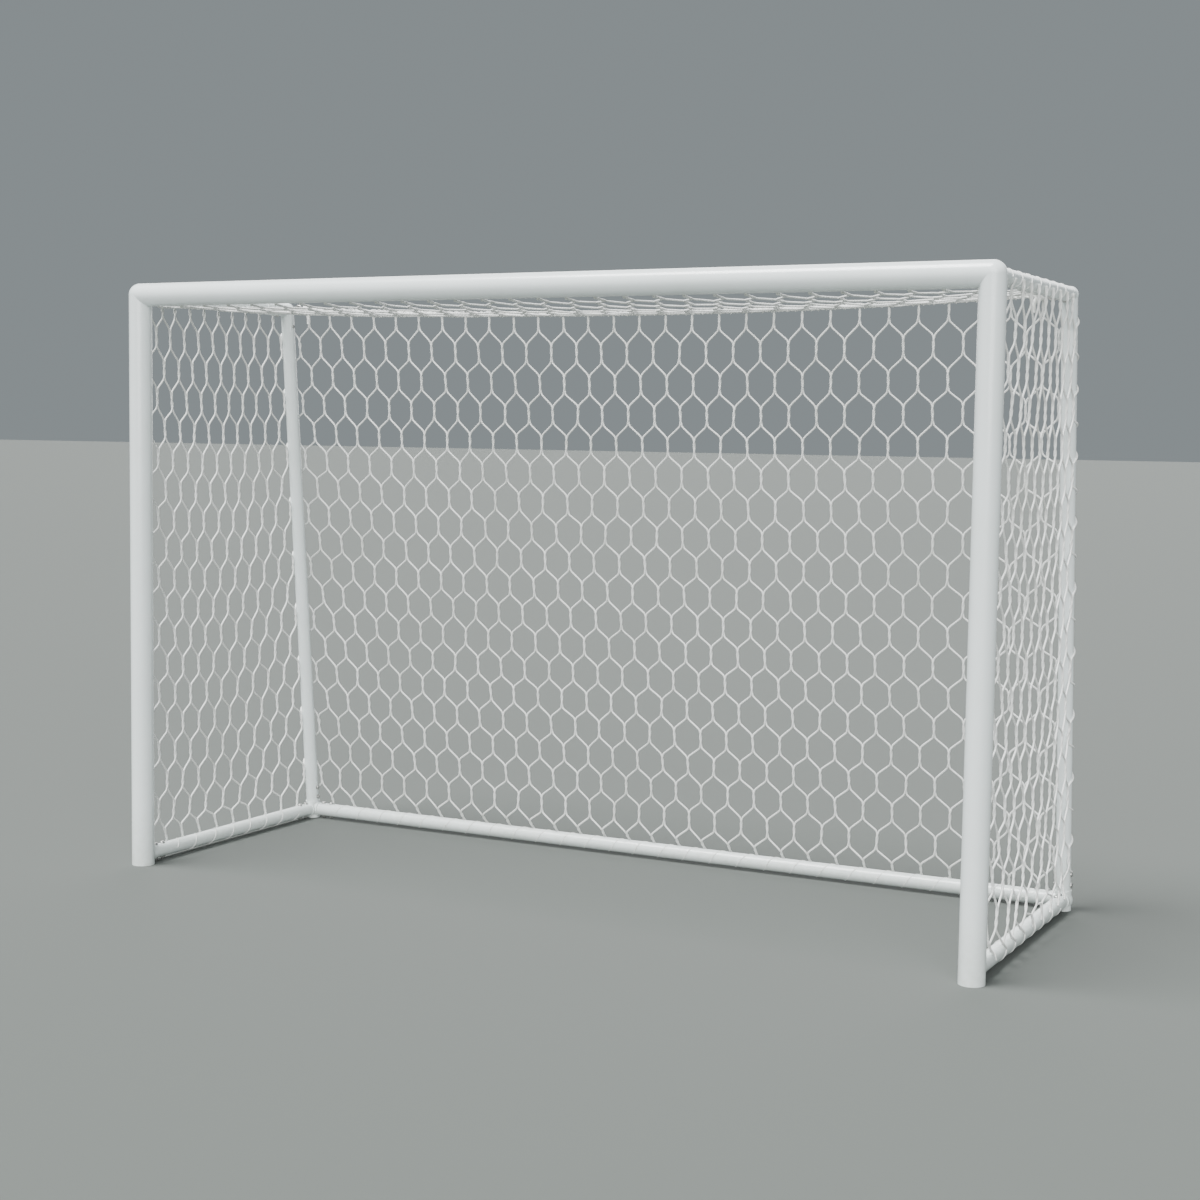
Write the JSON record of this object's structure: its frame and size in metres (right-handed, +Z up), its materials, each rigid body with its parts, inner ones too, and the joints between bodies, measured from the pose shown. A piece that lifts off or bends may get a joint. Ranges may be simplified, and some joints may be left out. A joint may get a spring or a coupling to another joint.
{
  "type": "soccer goal",
  "caption": "Free-standing small soccer goal: round white posts and crossbar, bolted rear tube frame, rope across the rear top and a knotted hexagonal net.",
  "frame": {"origin": "middle of the goal's footprint, on the ground", "axes": "+Z up, +X along the crossbar, +Y from the goal mouth to the back"},
  "size_m": [3.16, 1.1124, 2.08],
  "materials": {
    "white_powder_coat": "gloss white powder coat",
    "stainless": "satin",
    "white_plastic": "matt",
    "net_twine": "braided white twine",
    "rope": "braided white rope"
  },
  "bodies": {
    "root": {"crossbar": "white_powder_coat", "crossbar_hooks": "white_plastic", "left_corner_screws": "stainless", "left_front_corner": "white_powder_coat", "left_ground_corner": "white_powder_coat", "left_ground_side_bar": "white_powder_coat", "left_post": "white_powder_coat", "left_post_foot": "white_powder_coat", "left_post_ground_spigot": "white_powder_coat", "left_post_hooks": "white_plastic", "left_rear_bar_bolts": "stainless", "left_rear_bar_nuts": "stainless", "left_rear_elbow": "white_powder_coat", "left_rear_upright": "white_powder_coat", "left_rope_eye": "stainless", "left_rope_knot": "rope", "left_side_bar_front_bolts": "stainless", "left_side_bar_front_nuts": "stainless", "left_side_bar_rear_bolts": "stainless", "left_side_bar_rear_nuts": "stainless", "left_top_side_bar": "white_powder_coat", "left_upright_bolts": "stainless", "left_upright_nuts": "stainless", "net_back": "net_twine", "net_left": "net_twine", "net_right": "net_twine", "net_roof": "net_twine", "rear_ground_bar": "white_powder_coat", "rear_top_rope": "rope", "right_corner_screws": "stainless", "right_front_corner": "white_powder_coat", "right_ground_corner": "white_powder_coat", "right_ground_side_bar": "white_powder_coat", "right_post": "white_powder_coat", "right_post_foot": "white_powder_coat", "right_post_ground_spigot": "white_powder_coat", "right_post_hooks": "white_plastic", "right_rear_bar_bolts": "stainless", "right_rear_bar_nuts": "stainless", "right_rear_elbow": "white_powder_coat", "right_rear_upright": "white_powder_coat", "right_rope_eye": "stainless", "right_rope_knot": "rope", "right_side_bar_front_bolts": "stainless", "right_side_bar_front_nuts": "stainless", "right_side_bar_rear_bolts": "stainless", "right_side_bar_rear_nuts": "stainless", "right_top_side_bar": "white_powder_coat", "right_upright_bolts": "stainless", "right_upright_nuts": "stainless"}
  },
  "joints": []
}
